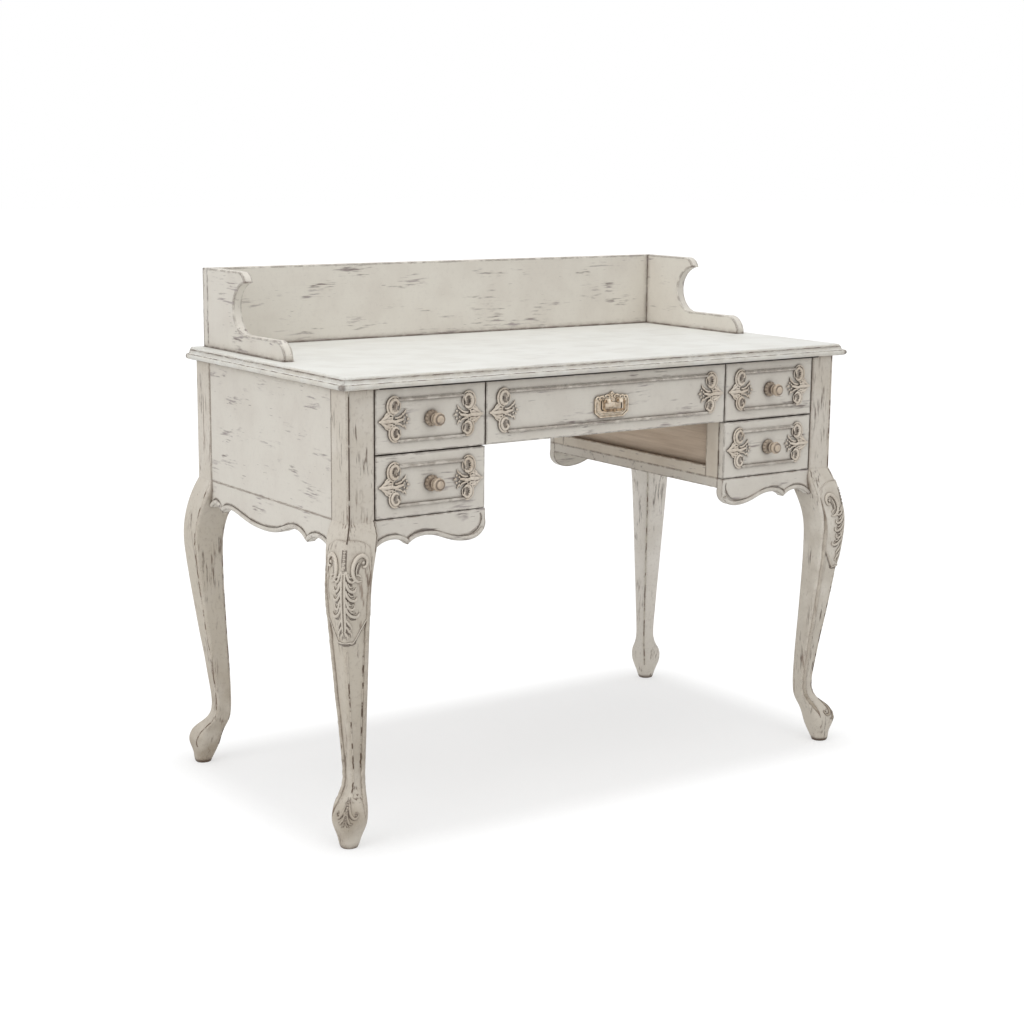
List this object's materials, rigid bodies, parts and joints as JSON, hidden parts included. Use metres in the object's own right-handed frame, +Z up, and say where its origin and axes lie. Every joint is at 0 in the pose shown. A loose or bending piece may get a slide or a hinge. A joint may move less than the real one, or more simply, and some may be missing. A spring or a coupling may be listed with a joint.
{
  "type": "writing desk",
  "caption": "Painted wooden writing desk with pedestal drawers, a kneehole drawer, cabriole legs, scalloped aprons and a low gallery along the back.",
  "frame": {"origin": "on the floor, at the middle of the desk's plan", "axes": "+X to the sitter's right along the front, +Y from front to back, +Z up"},
  "size_m": [1.1308, 0.6005, 0.935],
  "materials": {
    "painted_wood": "distressed off-white paint with brown glaze, satin",
    "painted_top": "off-white paint with faint grain, lightly distressed, satin",
    "raw_wood": "bare wood, matt",
    "knob_wood": "turned wood with worn paint and brown glaze",
    "aged_brass": "aged, rubbed brass"
  },
  "bodies": {
    "desk_frame": {"desk_top": "painted_top", "gallery_back": "painted_wood", "back_rail": "painted_wood", "partition_stiles": "painted_wood", "partition_top_rails": "painted_wood", "partition_bottom_rails": "painted_wood", "drawer_runners": "raw_wood", "top_blocks": "raw_wood", "gallery_side_left": "painted_wood", "gallery_side_right": "painted_wood", "leg_front_left": "painted_wood", "leg_front_right": "painted_wood", "leg_rear_left": "painted_wood", "leg_rear_right": "painted_wood", "side_panel_left": "painted_wood", "side_panel_right": "painted_wood", "side_apron_left": "painted_wood", "side_apron_right": "painted_wood", "front_apron_left": "painted_wood", "front_apron_right": "painted_wood", "rear_apron_left": "painted_wood", "rear_apron_right": "painted_wood", "partition_panel_left": "raw_wood", "partition_panel_right": "raw_wood", "pedestal_floor_left": "painted_wood", "pedestal_floor_right": "painted_wood", "back_panel_left": "painted_wood", "back_panel_right": "painted_wood"},
    "upper_left_drawer": {"upper_left_front": "painted_wood", "upper_left_sides": "raw_wood", "upper_left_back": "raw_wood", "upper_left_bottom": "raw_wood", "upper_left_carvings": "painted_wood", "upper_left_knob": "knob_wood"},
    "upper_right_drawer": {"upper_right_front": "painted_wood", "upper_right_sides": "raw_wood", "upper_right_back": "raw_wood", "upper_right_bottom": "raw_wood", "upper_right_carvings": "painted_wood", "upper_right_knob": "knob_wood"},
    "lower_left_drawer": {"lower_left_front": "painted_wood", "lower_left_sides": "raw_wood", "lower_left_back": "raw_wood", "lower_left_bottom": "raw_wood", "lower_left_carvings": "painted_wood", "lower_left_knob": "knob_wood"},
    "lower_right_drawer": {"lower_right_front": "painted_wood", "lower_right_sides": "raw_wood", "lower_right_back": "raw_wood", "lower_right_bottom": "raw_wood", "lower_right_carvings": "painted_wood", "lower_right_knob": "knob_wood"},
    "centre_drawer": {"centre_front": "painted_wood", "centre_sides": "raw_wood", "centre_back": "raw_wood", "centre_bottom": "raw_wood", "centre_carvings": "painted_wood", "centre_pull_plate": "aged_brass", "centre_pull_posts": "aged_brass"},
    "centre_bail": {"centre_pull_bail": "aged_brass"}
  },
  "joints": [
    {"name": "upper_left_drawer_slide", "type": "slide", "parent": "desk_frame", "child": "upper_left_drawer", "axis": [0, -1, 0], "range_m": [0, 0.34]},
    {"name": "upper_right_drawer_slide", "type": "slide", "parent": "desk_frame", "child": "upper_right_drawer", "axis": [0, -1, 0], "range_m": [0, 0.34]},
    {"name": "lower_left_drawer_slide", "type": "slide", "parent": "desk_frame", "child": "lower_left_drawer", "axis": [0, -1, 0], "range_m": [0, 0.34]},
    {"name": "lower_right_drawer_slide", "type": "slide", "parent": "desk_frame", "child": "lower_right_drawer", "axis": [0, -1, 0], "range_m": [0, 0.34]},
    {"name": "centre_drawer_slide", "type": "slide", "parent": "desk_frame", "child": "centre_drawer", "axis": [0, -1, 0], "range_m": [0, 0.34]},
    {"name": "centre_bail_swing", "type": "hinge", "parent": "centre_drawer", "child": "centre_bail", "pos_m": [0, -0.28073, 0.71786], "axis": [-1, 0, 0], "range_deg": [-12, 85]}
  ]
}
